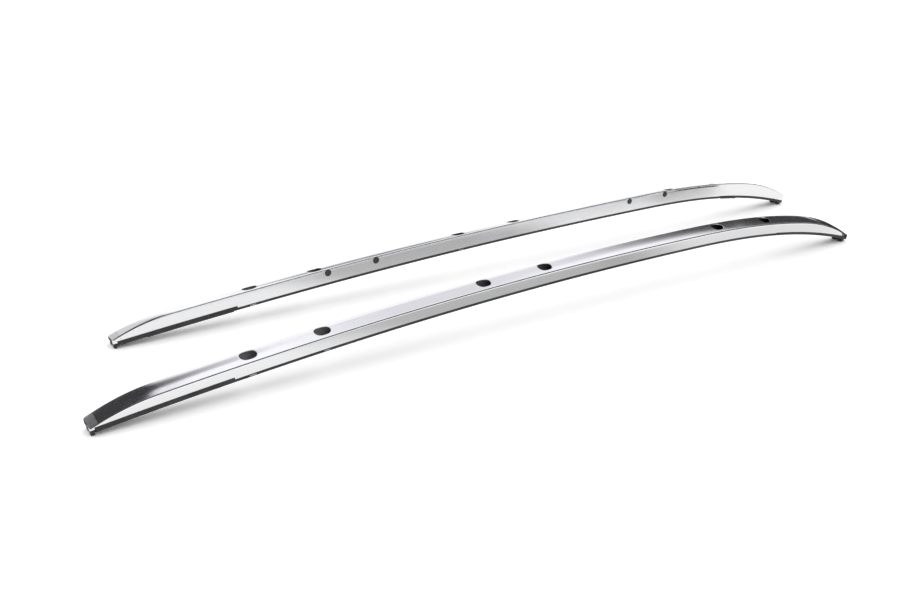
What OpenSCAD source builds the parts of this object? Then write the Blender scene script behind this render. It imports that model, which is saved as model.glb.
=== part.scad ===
// Pair of arched roof side rails, mirror images of each other, standing on their feet.
// X runs along the rails from the gentle front end to the steep rear end, Z is up.
// The left rail lies on the -Y side. Each rail leans its smooth, lower wall outwards.

/* [Pair] */
// Distance between the two rail centrelines at their ends
pair_spacing = 295; // [200:1:1200]
// How far the right rail is set back along the left one
rail_stagger = 118; // [0:1:300]

/* [Rail] */
// Length of one rail with its end caps, along its base
rail_length = 1800; // [1770:5:1900]
// Width of the rail across its walls
rail_width = 34; // [30:0.5:44]
// Thickness of the side walls and of the top
wall = 2.2; // [1.6:0.1:3]
// Thickness of the floor, which takes the roof bolts
floor_wall = 3; // [2:0.1:5]
// Height of the outer wall at the front end, before the nose tapers
outer_wall_front = 21.1; // [16:0.1:30]
// Height of the outer wall at the rear end, before the nose tapers
outer_wall_rear = 23.3; // [16:0.1:30]
// How much higher the inner edge of the top is than the outer edge at the front end
tilt_front = 5.8; // [3:0.1:12]
// How much higher the inner edge of the top is than the outer edge at the rear end
tilt_rear = 9.3; // [3:0.1:12]
// Height of the crown of the top above a flat top
top_crown = 1.8; // [0.5:0.1:4]
// Radius of the long edge between the outer wall and the top
outer_edge_r = 2.4; // [1:0.1:3.5]
// Radius of the long edge between the inner wall and the top
inner_edge_r = 1.6; // [1:0.1:2.4]
// Length of the solid nose at each end, where the rail has no hollow
nose_solid = 62; // [50:1:80]

/* [Arch] */
// Distance from the front end to the crest of the arch
crest_x = 1255; // [1100:5:1350]
// Height of the underside of the seal above the floor at the crest
crest_height = 68; // [40:1:90]
// Height of the underside above the floor at the front end
front_clearance = 4.4; // [1:0.1:6]
// Height of the underside above the floor at the rear end
rear_clearance = 2.5; // [1:0.1:6]
// Power of the curve from the front end to the crest
front_power = 2.2; // [1.8:0.05:2.4]
// Power of the curve from the crest to the rear end
rear_power = 2.55; // [2:0.05:2.8]
// How far the middle of the rail bows towards the other rail
plan_bow = 13; // [0:0.5:20]
// How much higher the outer edge of the underside is at the front end
outer_rise_front = 0.1; // [0:0.1:4]
// How much higher the outer edge of the underside is at the rear end
outer_rise_rear = 1.6; // [0:0.1:8]
// Length over which the walls taper at the front end
front_nose = 112; // [85:1:160]
// Share of the wall height left at the front end
front_nose_share = 0.22; // [0.19:0.01:0.5]
// Length over which the walls taper at the rear end
rear_nose = 167; // [90:1:200]
// Share of the wall height left at the rear end
rear_nose_share = 0.23; // [0.2:0.01:0.6]
// Power of the taper at both ends
nose_power = 2; // [1.4:0.05:2.4]
// Share of the tilt left at the front end
front_tilt_share = 0.6; // [0.2:0.01:1]
// Share of the tilt left at the rear end
rear_tilt_share = 0.88; // [0.2:0.01:1]
// Radius of the rounded corners of the two ends, seen from above
end_round = 3; // [2:0.5:6]

/* [Bolt fixings] */
// Distance from the end of the front pad to the first fixing
front_fixing_setback = 31; // [24:1:60]
// Distance between the two front fixings
front_fixing_gap = 137; // [100:1:160]
// Distance from the front end to the third fixing
middle_fixing_x = 741; // [650:1:800]
// Distance between the two middle fixings
middle_fixing_gap = 146; // [100:1:200]
// Distance from the start of the rear pad back to the last fixing
rear_fixing_setback = 26.5; // [25:0.5:60]
// Distance between the two rear fixings
rear_fixing_gap = 151; // [100:1:160]
// Length of each access slot in the top
slot_length = 30; // [25:0.5:34]
// Width of each access slot in the top
slot_width = 23; // [16:0.5:24]
// How far the slots and bolts lie inwards of the centreline
slot_offset = 1; // [0:0.1:2]
// Radius of the bolt holes through the fixing seats
bolt_hole_r = 3.3; // [2.5:0.1:4.5]
// Wall of the bush round each bolt hole
bush_wall = 2.4; // [1.5:0.1:3]
// Length of the seat plate along the rail
seat_length = 26; // [22:1:28]
// Width of the seat plate across the rail
seat_width = 22; // [16:0.5:24]
// Length of the seat ears that show in the sides of the seal
seat_ear_length = 10; // [4:0.5:14]

/* [Crossbar points] */
// Distance from the second fixing to the first crossbar point
front_bar_step = 22; // [20:1:60]
// Distance between the two front crossbar points
front_bar_gap = 108; // [60:1:120]
// Distance from the fifth fixing back to the last crossbar point
rear_bar_step = 24; // [20:1:60]
// Distance between the last two crossbar points
rear_bar_gap = 117; // [60:1:120]
// Depth of the crossbar points below the inner edge of the top
bar_point_drop = 8.2; // [8:0.1:12]
// Diameter of the round plugs
plug_diameter = 13.4; // [12.4:0.1:15]
// How far the plug stands proud of the wall
plug_proud = 1.2; // [0.6:0.1:2]
// Depth of the flat recess that each plug sits in
recess_depth = 1; // [0.8:0.05:1.3]
// Radius of the body of the threaded insert behind each plug
insert_r = 4.4; // [4:0.1:4.8]
// Radius of the insert's flange
insert_flange_r = 5.6; // [5.2:0.1:6]
// Thickness of the insert's flange
insert_flange = 0.7; // [0.4:0.05:0.75]
// Radius of the thread of the insert
insert_thread_r = 2.5; // [2:0.1:3]
// Length of the threaded insert
insert_length = 9; // [7:0.5:12]

/* [Seals and feet] */
// Thickness of the rubber seal under the rail
seal_thickness = 5.4; // [4:0.1:6]
// Depth of the channel along the underside of the seal
seal_channel = 1.2; // [0.4:0.1:2]
// Distance from the front end to the end of the front pad
front_pad_end = 235; // [200:1:248]
// Height of the front pad's lips up the walls
front_lip = 4; // [2:0.1:4.5]
// Length of the rear pad, which runs up to the rounded end
rear_pad_length = 256; // [210:1:260]
// Height of the rear pad's lips up the walls
rear_lip = 1.4; // [1:0.1:3]
// Thickness of the pad lips
lip_wall = 0.7; // [0.5:0.1:1]
// Depth of the raised ribs under the pads
pad_rib = 1.3; // [0.6:0.1:1.6]
// Distance from the joint of a pad and the seal to the nearest rib
rib_setback = 8; // [6:0.5:12]
// Length of the long rib under the rear pad
long_rib_length = 34; // [26:1:40]
// Length of the short rib under the rear pad
short_rib_length = 17; // [12:1:24]
// Distance between the two ribs under the rear pad
rib_gap = 4; // [3:0.5:6]
// Length of each end cap
cap_length = 15; // [12:0.5:20]
// Length of the front foot
front_foot_length = 6; // [5:0.5:8]
// Length of the rear foot
rear_foot_length = 18; // [14:0.5:26]
// Distance from the rear end to the rear foot
rear_foot_setback = 4; // [4:0.5:12]
// How far the bushes of the fixing seats stand above the floor of the rail
bush_proud = 1; // [0.5:0.1:2]
// Distance from the start of the rear pad back to the locating peg
peg_setback = 9; // [5:0.5:10]
// Diameter of the locating peg
peg_diameter = 6; // [4:0.5:7]
// How far the locating peg reaches below the seal
peg_reach = 5; // [3:0.5:9]

/* [Fits] */
// Clearance between moulded rubber and the pieces set in it
rubber_clearance = 0.2; // [0.1:0.05:0.3]
// Clearance between the aluminium and the pieces set in it
metal_clearance = 0.1; // [0.05:0.05:0.2]

/* [Hidden] */
half = rail_width / 2;
seal_inset = 0.3;
seal_half = half - seal_inset;
seal_skirt = 1.2;
foot_inset = 3;
foot_start = 1;
front_pad_start = foot_start + front_foot_length + 1;
rear_pad_end = rail_length - end_round;
rear_pad_start = rear_pad_end - rear_pad_length;
peg_x = rear_pad_start - peg_setback;
tongue_length = cap_length * 0.8;
tongue_width = half;
tongue_height = 1.6;
tongue_rise = 1.6;
slot_depth = 9;
bush_r = bolt_hole_r + bush_wall;
front_fixings = [front_pad_end + front_fixing_setback, front_pad_end + front_fixing_setback + front_fixing_gap];
middle_fixings = [middle_fixing_x, middle_fixing_x + middle_fixing_gap];
last_fixing = rear_pad_start - rear_fixing_setback;
rear_fixings = [last_fixing - rear_fixing_gap, last_fixing];
fixings = concat(front_fixings, middle_fixings, rear_fixings);
front_bar = front_fixings[1] + front_bar_step;
front_bars = [front_bar, front_bar + front_bar_gap];
rear_bar = rear_fixings[0] - rear_bar_step;
rear_bars = [rear_bar - rear_bar_gap, rear_bar];
bars = concat(front_bars, rear_bars);
$fn = 48;

// Curves of the rail, in the frame of the left rail with its front end at X = 0

function blend(a, b, t) = a + (b - a) * t;

// Underside of the seal at the inner edge, above the floor
function arch(x) =
    x < crest_x
        ? blend(front_clearance, crest_height, 1 - pow(1 - x / crest_x, front_power))
        : blend(rear_clearance, crest_height, 1 - pow((x - crest_x) / (rail_length - crest_x), rear_power));

// Slope of that curve along the rail, by which each section leans to stand square to it
function lean(x) =
    x < crest_x
        ? (crest_height - front_clearance) * front_power / crest_x * pow(1 - x / crest_x, front_power - 1)
        : -(crest_height - rear_clearance) * rear_power / (rail_length - crest_x)
            * pow((x - crest_x) / (rail_length - crest_x), rear_power - 1);

// Sideways place of the centreline, positive towards the other rail
function bow(x) = plan_bow * (1 - pow(2 * x / rail_length - 1, 2));

// Rise of the underside from the inner edge to the outer edge
function outer_rise(x) = blend(outer_rise_front, outer_rise_rear, x / rail_length);

// Shares of the full wall height and of the full tilt that are left in the tapering noses
function front_taper(x) = pow(max(0, 1 - x / front_nose), nose_power);
function rear_taper(x) = pow(max(0, 1 - (rail_length - x) / rear_nose), nose_power);
function wall_share(x) = 1 - (1 - front_nose_share) * front_taper(x) - (1 - rear_nose_share) * rear_taper(x);
function tilt_share(x) = 1 - (1 - front_tilt_share) * front_taper(x) - (1 - rear_tilt_share) * rear_taper(x);

// Share of the full width that is left at the rounded ends
function end_depth(x) = max(0, end_round - min(x, rail_length - x)) / end_round;
function width_share(x) = (half - end_round * (1 - sqrt(1 - pow(end_depth(x), 2)))) / half;

// Share of the width from the outer wall to the inner wall
function across(y) = (y + half) / rail_width;

function underside(x, y) = arch(x) + outer_rise(x) * (1 - across(y));
function rail_bottom(x, y) = underside(x, y) + seal_thickness;
function outer_wall(x) = blend(outer_wall_front, outer_wall_rear, x / rail_length);
function outer_top(x) = rail_bottom(x, -half) + outer_wall(x) * wall_share(x);
function top_tilt(x) = (outer_rise(x) + blend(tilt_front, tilt_rear, x / rail_length)) * tilt_share(x);
function inner_top(x) = rail_bottom(x, half) + outer_wall(x) * wall_share(x) + top_tilt(x);
function crown(x, y) = 4 * top_crown * wall_share(x) * across(y) * (1 - across(y));
function top(x, y) = blend(outer_top(x), inner_top(x), across(y)) + crown(x, y);

// Stations along the rail, closer together where it curves more
breaks = [
    0, end_round, front_pad_start, cap_length, nose_solid, front_nose, front_pad_end, crest_x,
    rear_pad_start, rail_length - rear_nose, rail_length - nose_solid, rail_length - cap_length,
    rear_pad_end, rail_length
];
pitches = [0, 12, 12, 13, 13, 30, 54, 27, 22, 12, 12, 12, 0];
function ramp(x0, x1, n) = [for (i = [0:n - 1]) blend(x0, x1, i / n)];
function stretch(i) = ramp(breaks[i], breaks[i + 1], max(1, ceil((breaks[i + 1] - breaks[i]) / pitches[i])));
function front_end() = [for (a = [0, 30, 60]) end_round * (1 - cos(a))];
function rear_end() = [for (a = [90, 60, 30, 0]) rail_length - end_round * (1 - cos(a))];
stations = concat(front_end(), [for (i = [1:len(breaks) - 3]) each stretch(i)], rear_end());

// Stations from x0 to x1, which are both among the breaks
function along(x0, x1) = [for (x = stations) if (x > x0 - 0.01 && x < x1 + 0.01) x];

// Sections across the rail, listed clockwise as seen from the rear end

function outer_edge(x) = [for (a = [0, 30, 60])
    [-half + outer_edge_r * (1 - cos(a)), outer_top(x) - outer_edge_r * (1 - sin(a))]];
function inner_edge(x) = [for (a = [45, 0])
    [half - inner_edge_r * (1 - cos(a)), inner_top(x) - inner_edge_r * (1 - sin(a))]];
function crown_line(x) = [for (i = [0:5])
    let (y = blend(-half + outer_edge_r, half - inner_edge_r, i / 5)) [y, top(x, y)]];
function rail_section(x) = concat(
    [[-half, rail_bottom(x, -half)]],
    outer_edge(x),
    crown_line(x),
    inner_edge(x),
    [[half, rail_bottom(x, half)]]
);

function hollow_top(x, y) = top(x, y) - wall - (y < -half / 2 ? outer_edge_r / 2 : 0);
function hollow_section(x) = let (side = half - wall) concat(
    [[-side, rail_bottom(x, -side) + floor_wall]],
    [for (i = [0:3]) let (y = blend(-side, side, i / 3)) [y, hollow_top(x, y)]],
    [[side, rail_bottom(x, side) + floor_wall]]
);

// The seal has a skirt down each side and a shallow channel between them
function seal_section(x) = let (side = seal_half, skirt = seal_skirt, inner = half * 0.5) [
    [side, rail_bottom(x, side)],
    [side, underside(x, side) + skirt],
    [side - skirt, underside(x, side - skirt)],
    [inner + 1, underside(x, inner + 1)],
    [inner, underside(x, inner) + seal_channel],
    [-inner, underside(x, -inner) + seal_channel],
    [-inner - 1, underside(x, -inner - 1)],
    [-side + skirt, underside(x, -side + skirt)],
    [-side, underside(x, -side) + skirt],
    [-side, rail_bottom(x, -side)]
];

// The pads have lips that lap the walls of the rail on both sides
function lip_top(x, y, lip) = rail_bottom(x, y) + lip;
function pad_section(x, lip) = let (side = half + lip_wall, skirt = seal_skirt + lip_wall) [
    [half, rail_bottom(x, half)],
    [half, lip_top(x, half, lip)],
    [side, lip_top(x, half, lip) - lip_wall / 2],
    [side, underside(x, side) + skirt],
    [side - skirt, underside(x, side - skirt)],
    [-side + skirt, underside(x, -side + skirt)],
    [-side, underside(x, -side) + skirt],
    [-side, lip_top(x, -half, lip) - lip_wall / 2],
    [-half, lip_top(x, -half, lip)],
    [-half, rail_bottom(x, -half)]
];

// Flat bar between two heights above the underside
function bar_section(x, y0, y1, low, high) = [
    [y0, underside(x, y0) + low],
    [y0, underside(x, y0) + high],
    [y1, underside(x, y1) + high],
    [y1, underside(x, y1) + low]
];

// Solid swept through one section at each station
module sweep(xs, sections) {
    n = len(sections[0]);
    m = len(xs);
    points = [for (i = [0:m - 1]) let (x = xs[i]) for (p = sections[i])
        [x - lean(x) * (p[1] - arch(x)), p[0] * width_share(x) + bow(x), p[1]]];
    first = [for (j = [0:n - 1]) n - 1 - j];
    last = [for (j = [0:n - 1]) (m - 1) * n + j];
    sides = [for (i = [0:m - 2]) for (j = [0:n - 1])
        let (a = i * n + j, b = i * n + (j + 1) % n) [a, b, b + n, a + n]];
    polyhedron(points = points, faces = concat([first, last], sides), convexity = 6);
}

module rail_body(x0, x1) {
    xs = along(x0, x1);
    sweep(xs, [for (x = xs) rail_section(x)]);
}

module rail_hollow() {
    xs = along(nose_solid, rail_length - nose_solid);
    sweep(xs, [for (x = xs) hollow_section(x)]);
}

module seal_body(x0, x1) {
    xs = along(x0, x1);
    sweep(xs, [for (x = xs) seal_section(x)]);
}

module pad_body(x0, x1, lip) {
    xs = along(x0, x1);
    sweep(xs, [for (x = xs) pad_section(x, lip)]);
}

module flat_bar(xs, y0, y1, low, high) {
    sweep(xs, [for (x = xs) bar_section(x, y0, y1, low, high)]);
}

// Places of the bolts and of the crossbar points
function bolt_y(x) = bow(x) + slot_offset;
function bar_z(x) = inner_top(x) - bar_point_drop;

// Oblong slot with round ends, cut down through the top of the rail
module top_slot(x) {
    reach = (slot_length - slot_width) / 2;
    translate([x, bolt_y(x), outer_top(x) - slot_depth])
        linear_extrude(slot_depth + top_tilt(x) + top_crown + 8) {
            square([2 * reach, slot_width], center = true);
            translate([-reach, 0]) circle(d = slot_width);
            translate([reach, 0]) circle(d = slot_width);
        }
}

// Upright round hole through the floor of the rail and what lies below it
module bolt_hole(x, r) {
    translate([x, bolt_y(x), rail_bottom(x, slot_offset) - 20]) cylinder(r = r, h = 26 + floor_wall);
}

// Round bar across the rail, from y0 to y1 inwards of its centreline
module cross_cylinder(x, r, y0, y1) {
    translate([x, bow(x) + y0, bar_z(x)]) rotate([-90, 0, 0]) cylinder(r = r, h = y1 - y0);
}

// Flat tongue by which an end cap is held in the solid nose, or with a gap added its pocket
function joint_x(end) = end == 0 ? cap_length : rail_length - cap_length;
module tongue(end, gap) {
    inward = end == 0 ? 1 : -1;
    root = joint_x(end) - 2 * inward;
    tip = joint_x(end) + (tongue_length + gap) * inward;
    side = tongue_width / 2 + gap;
    low = seal_thickness + tongue_rise;
    flat_bar([min(root, tip), max(root, tip)], -side, side, low - gap, low + tongue_height + gap);
}

module rail() {
    color([0.8, 0.81, 0.83])
    difference() {
        rail_body(cap_length, rail_length - cap_length);
        rail_hollow();
        for (x = fixings) {
            top_slot(x);
            bolt_hole(x, bush_r + metal_clearance);
        }
        for (x = bars) {
            cross_cylinder(x, insert_r + metal_clearance, half - wall - 3, half + 1);
            cross_cylinder(x, plug_diameter / 2 + metal_clearance, half - recess_depth, half + 2);
        }
        tongue(0, metal_clearance);
        tongue(1, metal_clearance);
    }
}

module end_cap(end) {
    color([0.5, 0.51, 0.52])
    union() {
        rail_body(end == 0 ? 0 : joint_x(end), end == 0 ? joint_x(end) : rail_length);
        tongue(end, 0);
    }
}

// Slopes of the underside at x, along the rail and across it
function slope_along(x) = (underside(x + 12, slot_offset) - underside(x - 12, slot_offset)) / 24;
function slope_across(x) = -outer_rise(x) / rail_width;
function tilt(x) = [
    atan(slope_across(x) * cos(atan(slope_along(x)))),
    -atan(slope_along(x)),
    0
];

// Plate of a fixing seat, with ears to one or both sides, or with gaps added the window that it fills
function ear_sides(i) = concat(i == 1 || i == 2 ? [-1] : [], i == 1 || i == 3 ? [1] : []);
module seat_plate(i, gap, depth) {
    x = fixings[i - 1];
    thick = seal_thickness / cos(atan(slope_along(x))) * cos(atan(slope_across(x)));
    translate([x, bolt_y(x), underside(x, slot_offset)])
        rotate(tilt(x)) {
            translate([-seat_length / 2 - gap, -seat_width / 2 - gap, -depth])
                cube([seat_length + 2 * gap, seat_width + 2 * gap, thick + 2 * depth]);
            for (side = ear_sides(i)) {
                reach = seal_half - side * slot_offset + depth;
                translate([-seat_ear_length / 2 - gap, side < 0 ? -reach : 0, -depth])
                    cube([seat_ear_length + 2 * gap, reach, thick + 2 * depth]);
            }
        }
}

// Bush up through the floor of the rail, on a plate that fills its window in the seal
module fixing_seat(i) {
    x = fixings[i - 1];
    bush_foot = underside(x, slot_offset) + seal_thickness / 2;
    bush_head = rail_bottom(x, slot_offset) + floor_wall + bush_proud;
    color([0.72, 0.73, 0.74])
    difference() {
        union() {
            seat_plate(i, 0, 0);
            translate([x, bolt_y(x), bush_foot]) cylinder(r = bush_r, h = bush_head - bush_foot);
        }
        bolt_hole(x, bolt_hole_r);
    }
}

module base_seal() {
    color([0.09, 0.09, 0.1])
    difference() {
        seal_body(front_pad_end, rear_pad_start);
        for (i = [1:6]) {
            seat_plate(i, rubber_clearance, 4);
        }
        peg(rubber_clearance);
    }
}

module front_pad() {
    rib_end = front_pad_end - rib_setback;
    rib = concat([for (x = along(nose_solid, front_pad_end)) if (x < rib_end - 5) x], [rib_end]);
    color([0.09, 0.09, 0.1])
    union() {
        pad_body(front_pad_start, front_pad_end, front_lip);
        flat_bar(rib, 2, half - 1, -pad_rib, 1.5);
    }
}

module rear_pad() {
    long_start = rear_pad_start + rib_setback;
    short_start = long_start + long_rib_length + rib_gap;
    long_rib = [long_start, long_start + long_rib_length / 2, long_start + long_rib_length];
    short_rib = [short_start, short_start + short_rib_length];
    color([0.09, 0.09, 0.1])
    union() {
        pad_body(rear_pad_start, rear_pad_end, rear_lip);
        flat_bar(long_rib, 0, half - 1, -pad_rib, 1.5);
        flat_bar(short_rib, 0, half - 1, -pad_rib, 1.5);
    }
}

// Outline of a foot from the side, with a rounded toe, seen along the rail
function foot_outline(length, height) = let (l = length / 2, toe = min(l, height) * 0.5) [
    [-l, height],
    [-l, toe],
    [-l + toe * 0.3, toe * 0.3],
    [-l + toe, 0],
    [l - toe, 0],
    [l - toe * 0.3, toe * 0.3],
    [l, toe],
    [l, height]
];
module foot_block(x, length, height) {
    translate([x, bow(x) + half - foot_inset, 0])
        rotate([90, 0, 0])
            linear_extrude(rail_width - 2 * foot_inset)
                polygon(foot_outline(length, height));
}

// Peg under the front cap, cut off where it meets the cap
module front_foot() {
    x = foot_start + front_foot_length / 2;
    xs = along(0, nose_solid);
    color([0.08, 0.08, 0.09])
    difference() {
        foot_block(x, front_foot_length, rail_bottom(foot_start + front_foot_length, half) + 4);
        flat_bar(xs, -half, half, seal_thickness, seal_thickness + 20);
    }
}

// Block under the rear pad, cut off where it meets the pad, with grip grooves in both ends
module rear_foot() {
    x = rail_length - rear_foot_setback - rear_foot_length / 2;
    xs = along(rail_length - rear_nose, rail_length);
    color([0.08, 0.08, 0.09])
    difference() {
        foot_block(x, rear_foot_length, underside(x - rear_foot_length / 2, -half) + 4);
        flat_bar(xs, -half, half, 0, 40);
        for (side = [-1, 1], k = [-1.5:1:1.5]) {
            translate([x + k * rear_foot_length / 5, bow(x) + side * (half - foot_inset), 12])
                cube([1.2, 1.6, 30], center = true);
        }
    }
}

// Round peg that finds its hole in the roof
module peg(gap) {
    z0 = underside(peg_x, slot_offset);
    r = peg_diameter / 2 + gap;
    translate([peg_x, bolt_y(peg_x), z0 - peg_reach]) {
        translate([0, 0, 1]) cylinder(r = r, h = peg_reach + seal_thickness * 0.6 - 1);
        cylinder(r1 = r - 1, r2 = r, h = 1);
    }
}

module locating_peg() {
    color([0.08, 0.08, 0.09]) peg(0);
}

// Threaded insert in the inner wall, its flange on the floor of the recess
module crossbar_nut(i) {
    x = bars[i - 1];
    seat = half - recess_depth;
    color([0.7, 0.7, 0.68])
    difference() {
        union() {
            cross_cylinder(x, insert_r, seat - insert_length, seat);
            cross_cylinder(x, insert_flange_r, seat, seat + insert_flange);
        }
        cross_cylinder(x, insert_thread_r, seat - insert_length - 1, seat + insert_flange + 1);
    }
}

// Round plug with a stem in the insert, a raised ring and a small socket in the middle
module crossbar_plug(i) {
    x = bars[i - 1];
    r = plug_diameter / 2;
    stem_r = insert_thread_r - rubber_clearance;
    seat = half - recess_depth + insert_flange;
    face = recess_depth - insert_flange + plug_proud;
    color([0.1, 0.1, 0.11])
    translate([x, bow(x) + seat, bar_z(x)])
        rotate([-90, 0, 0])
            rotate_extrude()
                polygon([
                    [0, -3],
                    [stem_r, -3],
                    [stem_r, 0],
                    [r, 0],
                    [r, face - 0.5],
                    [r - 0.5, face],
                    [r * 0.72, face],
                    [r * 0.68, face - 0.3],
                    [r * 0.36, face - 0.3],
                    [r * 0.3, face - 0.9],
                    [0, face - 0.9]
                ]);
}

// The left rail stands on the -Y side, and the right rail is its mirror image further back
rail_x = -(rail_length + rail_stagger) / 2;
module left_side() {
    translate([rail_x, -pair_spacing / 2, 0]) children();
}
module right_side() {
    translate([rail_x + rail_stagger, pair_spacing / 2, 0]) mirror([0, 1, 0]) children();
}

left_side() rail();  // left_rail
left_side() end_cap(0);  // left_front_cap
left_side() end_cap(1);  // left_rear_cap
left_side() base_seal();  // left_base_seal
left_side() front_pad();  // left_front_pad
left_side() rear_pad();  // left_rear_pad
left_side() front_foot();  // left_front_foot
left_side() rear_foot();  // left_rear_foot
left_side() locating_peg();  // left_locating_peg
left_side() fixing_seat(1);  // left_fixing_seat_1
left_side() fixing_seat(2);  // left_fixing_seat_2
left_side() fixing_seat(3);  // left_fixing_seat_3
left_side() fixing_seat(4);  // left_fixing_seat_4
left_side() fixing_seat(5);  // left_fixing_seat_5
left_side() fixing_seat(6);  // left_fixing_seat_6
left_side() crossbar_nut(1);  // left_crossbar_nut_1
left_side() crossbar_nut(2);  // left_crossbar_nut_2
left_side() crossbar_nut(3);  // left_crossbar_nut_3
left_side() crossbar_nut(4);  // left_crossbar_nut_4
left_side() crossbar_plug(1);  // left_crossbar_plug_1
left_side() crossbar_plug(2);  // left_crossbar_plug_2
left_side() crossbar_plug(3);  // left_crossbar_plug_3
left_side() crossbar_plug(4);  // left_crossbar_plug_4
right_side() rail();  // right_rail
right_side() end_cap(0);  // right_front_cap
right_side() end_cap(1);  // right_rear_cap
right_side() base_seal();  // right_base_seal
right_side() front_pad();  // right_front_pad
right_side() rear_pad();  // right_rear_pad
right_side() front_foot();  // right_front_foot
right_side() rear_foot();  // right_rear_foot
right_side() locating_peg();  // right_locating_peg
right_side() fixing_seat(1);  // right_fixing_seat_1
right_side() fixing_seat(2);  // right_fixing_seat_2
right_side() fixing_seat(3);  // right_fixing_seat_3
right_side() fixing_seat(4);  // right_fixing_seat_4
right_side() fixing_seat(5);  // right_fixing_seat_5
right_side() fixing_seat(6);  // right_fixing_seat_6
right_side() crossbar_nut(1);  // right_crossbar_nut_1
right_side() crossbar_nut(2);  // right_crossbar_nut_2
right_side() crossbar_nut(3);  // right_crossbar_nut_3
right_side() crossbar_nut(4);  // right_crossbar_nut_4
right_side() crossbar_plug(1);  // right_crossbar_plug_1
right_side() crossbar_plug(2);  // right_crossbar_plug_2
right_side() crossbar_plug(3);  // right_crossbar_plug_3
right_side() crossbar_plug(4);  // right_crossbar_plug_4
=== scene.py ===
import bpy
import bmesh
import math
from mathutils import Matrix, Vector


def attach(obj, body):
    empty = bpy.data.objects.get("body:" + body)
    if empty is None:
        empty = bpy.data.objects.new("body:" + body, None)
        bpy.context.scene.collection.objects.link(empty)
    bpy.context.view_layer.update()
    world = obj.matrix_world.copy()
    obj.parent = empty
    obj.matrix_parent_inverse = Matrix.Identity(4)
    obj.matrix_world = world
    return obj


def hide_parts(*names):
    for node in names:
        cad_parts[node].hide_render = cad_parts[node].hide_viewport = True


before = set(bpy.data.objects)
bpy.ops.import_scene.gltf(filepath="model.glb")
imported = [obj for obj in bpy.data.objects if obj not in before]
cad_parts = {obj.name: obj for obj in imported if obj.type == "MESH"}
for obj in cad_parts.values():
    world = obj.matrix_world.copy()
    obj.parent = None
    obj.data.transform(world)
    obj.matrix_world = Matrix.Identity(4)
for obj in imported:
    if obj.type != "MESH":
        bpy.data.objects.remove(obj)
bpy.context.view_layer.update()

# The camera stands in front of the left rail and looks along the pair towards the rear.
# It takes in about 50 degrees, stands 0.77 m above the table and is rolled by one degree.
camera_place = Vector((-1.2304, -1.5638, 0.7725))
camera_yaw = math.radians(33.883)
camera_pitch = math.radians(22.596)
camera_roll = math.radians(1.065)
focal_pixels, photo_width = 997.0, 920.0

forward = Vector((
    math.sin(camera_yaw) * math.cos(camera_pitch),
    math.cos(camera_yaw) * math.cos(camera_pitch),
    -math.sin(camera_pitch)))
level = Vector((math.cos(camera_yaw), -math.sin(camera_yaw), 0))
upward = level.cross(forward)
right = math.cos(camera_roll) * level + math.sin(camera_roll) * upward
up = -math.sin(camera_roll) * level + math.cos(camera_roll) * upward

camera_data = bpy.data.cameras.new("photo_camera")
camera_data.sensor_width = 36.0
camera_data.sensor_fit = "HORIZONTAL"
camera_data.lens = focal_pixels * camera_data.sensor_width / photo_width
camera_data.clip_end = 100.0
camera = bpy.data.objects.new("photo_camera", camera_data)
camera.matrix_world = Matrix((
    (right.x, up.x, -forward.x, camera_place.x),
    (right.y, up.y, -forward.y, camera_place.y),
    (right.z, up.z, -forward.z, camera_place.z),
    (0, 0, 0, 1)))
bpy.context.scene.collection.objects.link(camera)
bpy.context.scene.camera = camera
bpy.context.scene.view_settings.view_transform = "Standard"

# The table is a white sheet that takes soft grey shadows under the rails. Four patches of
# it are darker, but only where the metal mirrors them: two in front of the left rail and
# two between the rails. A black card, seen by the metal alone, stands beyond one rear tip.


def add_node(tree, kind, values=None, **settings):
    """Makes a node, sets its properties and its unlinked inputs."""
    node = tree.nodes.new(kind)
    for key, value in settings.items():
        setattr(node, key, value)
    for key, value in (values or {}).items():
        node.inputs[key].default_value = value
    return node


def smooth_range(tree, source, low, high, to_low=0.0, to_high=1.0):
    """A soft step: to_low below low, to_high above high."""
    step = add_node(tree, "ShaderNodeMapRange", interpolation_type="SMOOTHSTEP", values={
        "From Min": low, "From Max": high, "To Min": to_low, "To Max": to_high})
    tree.links.new(source, step.inputs["Value"])
    return step.outputs["Result"]


def combine(tree, operation, first, second):
    """A maths node on two sockets or numbers."""
    node = add_node(tree, "ShaderNodeMath", operation=operation)
    for place, value in enumerate((first, second)):
        if isinstance(value, (int, float)):
            node.inputs[place].default_value = value
        else:
            tree.links.new(value, node.inputs[place])
    return node.outputs[0]


def new_material(name):
    """A material with its node tree and its shader."""
    material = bpy.data.materials.new(name)
    material.use_nodes = True
    return material, material.node_tree, material.node_tree.nodes["Principled BSDF"]


def new_object(bm, name, material):
    """Makes an object of what is built, gives it its material and puts it in the scene."""
    mesh = bpy.data.meshes.new(name)
    bm.to_mesh(mesh)
    bm.free()
    mesh.materials.append(material)
    made = bpy.data.objects.new(name, mesh)
    bpy.context.scene.collection.objects.link(made)
    return made


table_half = 12.0
table_drop = 0.0002
paper_white, paper_black = (0.94, 0.94, 0.94, 1), (0.03, 0.03, 0.03, 1)
paper_roughness = 0.9
paper_glare = 1.25
patch_core, patch_rim = 0.55, 1.1
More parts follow.
